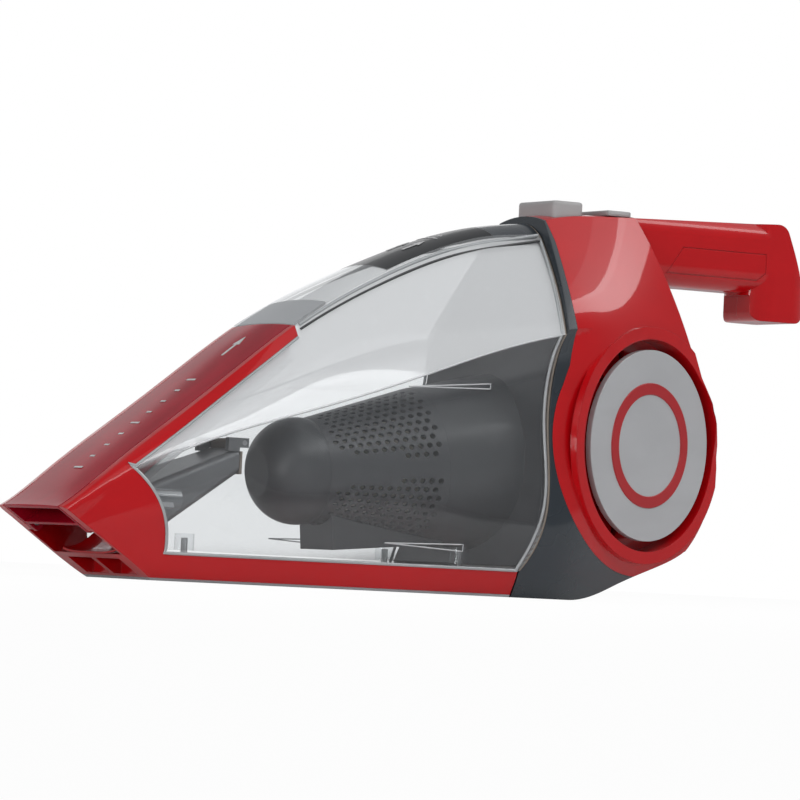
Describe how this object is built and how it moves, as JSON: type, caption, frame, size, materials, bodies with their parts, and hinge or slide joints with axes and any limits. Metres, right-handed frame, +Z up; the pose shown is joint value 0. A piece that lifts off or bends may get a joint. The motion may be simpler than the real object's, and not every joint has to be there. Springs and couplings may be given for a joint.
{
  "type": "handheld vacuum cleaner",
  "caption": "Handheld vacuum cleaner with a clear dust cup, slanted nozzle, fold-over crevice tool, round side covers and a rear handle.",
  "frame": {"origin": "middle of the underside, under the middle of the length", "axes": "+X from the nose to the handle, +Y to the side that the picture hides, +Z up"},
  "size_m": [0.4139, 0.129, 0.19],
  "materials": {
    "red_shell": "glossy",
    "red_tool": "glossy",
    "clear": "clear",
    "slate": "glossy",
    "pale_grey": "satin",
    "button_grey": "satin",
    "dark_grey": "satin",
    "filter_grey": "satin",
    "paper": "matte",
    "soft": "matte",
    "steel": "brushed",
    "board_green": "satin",
    "cell_wrap": "glossy",
    "copper_core": "satin"
  },
  "bodies": {
    "body": {"filter_cap": "filter_grey", "filter_screen": "filter_grey", "filter_frame": "filter_grey", "pleated_filter": "paper", "cup_seal": "soft", "chassis": "slate", "housing_left": "red_shell", "housing_right": "red_shell", "housing_screws": "steel", "side_cover_left": "button_grey", "side_cover_right": "button_grey", "grip_left": "soft", "grip_right": "soft", "release_spring": "steel", "control_bracket": "dark_grey", "switch_body": "dark_grey", "circuit_board": "board_green", "motor_can": "steel", "fan_shroud": "dark_grey", "motor_gasket": "soft", "motor_bracket": "dark_grey", "battery_cells": "cell_wrap", "battery_cradle": "dark_grey", "base_screws": "steel", "charging_jack": "dark_grey"},
    "dust_cup": {"dust_cup": "clear", "nozzle": "red_shell", "deck_trim": "pale_grey", "deck_label": "dark_grey", "cup_catch": "slate", "inlet_duct": "filter_grey", "flap_pin": "steel", "wear_strip": "pale_grey", "sill_screws": "steel", "tool_pins": "steel"},
    "crevice_tool": {"crevice_tool": "red_tool"},
    "inlet_flap": {"inlet_flap": "soft"},
    "release_button": {"release_button": "button_grey", "latch_bar": "dark_grey"},
    "power_slider": {"power_slider": "button_grey"},
    "fan": {"motor_shaft": "steel", "armature": "copper_core", "impeller": "dark_grey"}
  },
  "joints": [
    {"name": "cup_slide", "type": "slide", "parent": "body", "child": "dust_cup", "axis": [-1, 0, 0], "range_m": [0, 0.15]},
    {"name": "tool_flip", "type": "hinge", "parent": "dust_cup", "child": "crevice_tool", "pos_m": [-0.19074, 0, 0.02387], "axis": [0, -1, 0], "range_deg": [0, 180]},
    {"name": "flap_swing", "type": "hinge", "parent": "dust_cup", "child": "inlet_flap", "pos_m": [-0.1065, 0, 0.065], "axis": [0, -1, 0], "range_deg": [0, 60]},
    {"name": "release_press", "type": "slide", "parent": "body", "child": "release_button", "axis": [0, 0, -1], "range_m": [0, 0.0035], "stiffness_N_per_m": 500, "springref_m": -0.004, "deforming": ["release_spring"]},
    {"name": "power_slide", "type": "slide", "parent": "body", "child": "power_slider", "axis": [-1, 0, 0], "range_m": [0, 0.005]},
    {"name": "fan_spin", "type": "hinge", "parent": "body", "child": "fan", "pos_m": [0.06, 0, 0.086], "axis": [1, 0, 0], "continuous": true}
  ]
}
